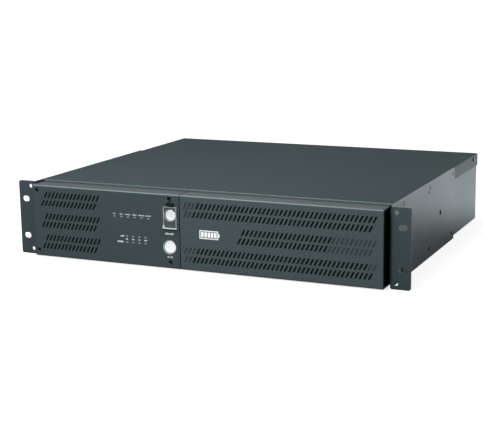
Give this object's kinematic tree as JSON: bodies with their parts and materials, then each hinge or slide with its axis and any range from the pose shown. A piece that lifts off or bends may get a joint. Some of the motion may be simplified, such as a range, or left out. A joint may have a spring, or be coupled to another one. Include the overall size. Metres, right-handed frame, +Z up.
{
  "type": "rack-mount uninterruptible power supply",
  "caption": "Two-unit 19-inch rack power supply with slotted split bezel, guarded power button, status lights, eared side brackets and a pull-out battery drawer.",
  "frame": {"origin": "centre of the four rack slots, on the front face of the ears", "axes": "+X to the right across the rack, +Y to the back, +Z up"},
  "size_m": [0.4826, 0.4007, 0.0882],
  "materials": {
    "case_paint": "fine satin powder coat",
    "ear_paint": "fine satin powder coat",
    "bezel_plastic": "fine moulded texture",
    "zinc_steel": "zinc plated",
    "dark_screw": "blackened",
    "white_plastic": "smooth",
    "well_plastic": "smooth",
    "black_plastic": "smooth",
    "clear_plastic": "clear",
    "lens_plastic": "smoked lens",
    "circuit_board": "solder resist",
    "aluminium_fins": "extruded",
    "capacitor_sleeve": "shrink sleeve",
    "copper_wire": "enamelled wire",
    "core_steel": "varnished laminations",
    "battery_case": "moulded case",
    "battery_lead": "tinned tab",
    "link_cover": "insulated strap"
  },
  "bodies": {
    "case": {"chassis_tub": "case_paint", "top_cover": "case_paint", "rear_panel": "case_paint", "front_subpanel": "zinc_steel", "ear_bracket_left": "ear_paint", "ear_bracket_right": "ear_paint", "bracket_screws": "dark_screw", "cover_screws": "dark_screw", "left_bezel": "bezel_plastic", "bezel_screws": "dark_screw", "bezel_posts": "zinc_steel", "ball_studs": "zinc_steel", "button_wells": "well_plastic", "push_switches": "black_plastic", "guard_bracket": "black_plastic", "guard_pin": "zinc_steel", "display_board": "circuit_board", "display_pillars": "zinc_steel", "status_leds": "lens_plastic", "load_leds": "lens_plastic", "battery_leds": "lens_plastic", "sounder": "black_plastic", "main_board": "circuit_board", "board_pillars": "zinc_steel", "heatsinks": "aluminium_fins", "power_transistors": "black_plastic", "bulk_capacitors": "capacitor_sleeve", "relays": "black_plastic", "filter_choke": "copper_wire", "transformer_core": "core_steel", "transformer_windings": "copper_wire", "transformer_feet": "zinc_steel", "transformer_bolts": "zinc_steel", "bay_wall": "zinc_steel", "bay_socket": "black_plastic", "fan_frame": "black_plastic", "fan_grille": "zinc_steel", "fan_screws": "dark_screw", "ac_inlet": "black_plastic", "inlet_pins": "zinc_steel", "outlets": "black_plastic", "breaker_body": "black_plastic", "data_port": "zinc_steel", "port_insert": "black_plastic", "slot_cover": "case_paint", "panel_screws": "zinc_steel"},
    "service_bezel": {"right_bezel": "bezel_plastic", "bezel_sockets": "black_plastic"},
    "battery_drawer": {"battery_tray": "zinc_steel", "batteries": "battery_case", "battery_terminals": "battery_lead", "battery_links": "link_cover", "tray_handle": "black_plastic", "tray_screws": "zinc_steel", "tray_plug": "well_plastic"},
    "power_key": {"power_button": "white_plastic"},
    "test_key": {"test_button": "white_plastic"},
    "guard_flap": {"button_guard": "clear_plastic"},
    "fan_wheel": {"fan_rotor": "black_plastic"},
    "breaker_key": {"breaker_button": "white_plastic"}
  },
  "joints": [
    {"name": "drawer_slide", "type": "slide", "parent": "case", "child": "battery_drawer", "axis": [0, -1, 0], "range_m": [0, 0.3]},
    {"name": "bezel_pull", "type": "slide", "parent": "case", "child": "service_bezel", "axis": [0, -1, 0], "range_m": [0, 0.4]},
    {"name": "guard_hinge", "type": "hinge", "parent": "case", "child": "guard_flap", "pos_m": [-0.0334, -0.012, 0.0296], "axis": [-1, 0, 0], "range_deg": [0, 110]},
    {"name": "power_press", "type": "slide", "parent": "case", "child": "power_key", "axis": [0, 1, 0], "range_m": [0, 0.002], "stiffness_N_per_m": 400, "springref_m": -0.0008},
    {"name": "test_press", "type": "slide", "parent": "case", "child": "test_key", "axis": [0, 1, 0], "range_m": [0, 0.002], "stiffness_N_per_m": 400, "springref_m": -0.0008},
    {"name": "breaker_press", "type": "slide", "parent": "case", "child": "breaker_key", "axis": [0, -1, 0], "range_m": [0, 0.003], "stiffness_N_per_m": 600, "springref_m": -0.0008},
    {"name": "fan_spin", "type": "hinge", "parent": "case", "child": "fan_wheel", "pos_m": [-0.165, 0.3673, 0.0004], "axis": [0, 1, 0], "continuous": true}
  ],
  "couplings": [
    {"joint": "bezel_pull", "follows": "drawer_slide", "ratio": 1.3333}
  ]
}
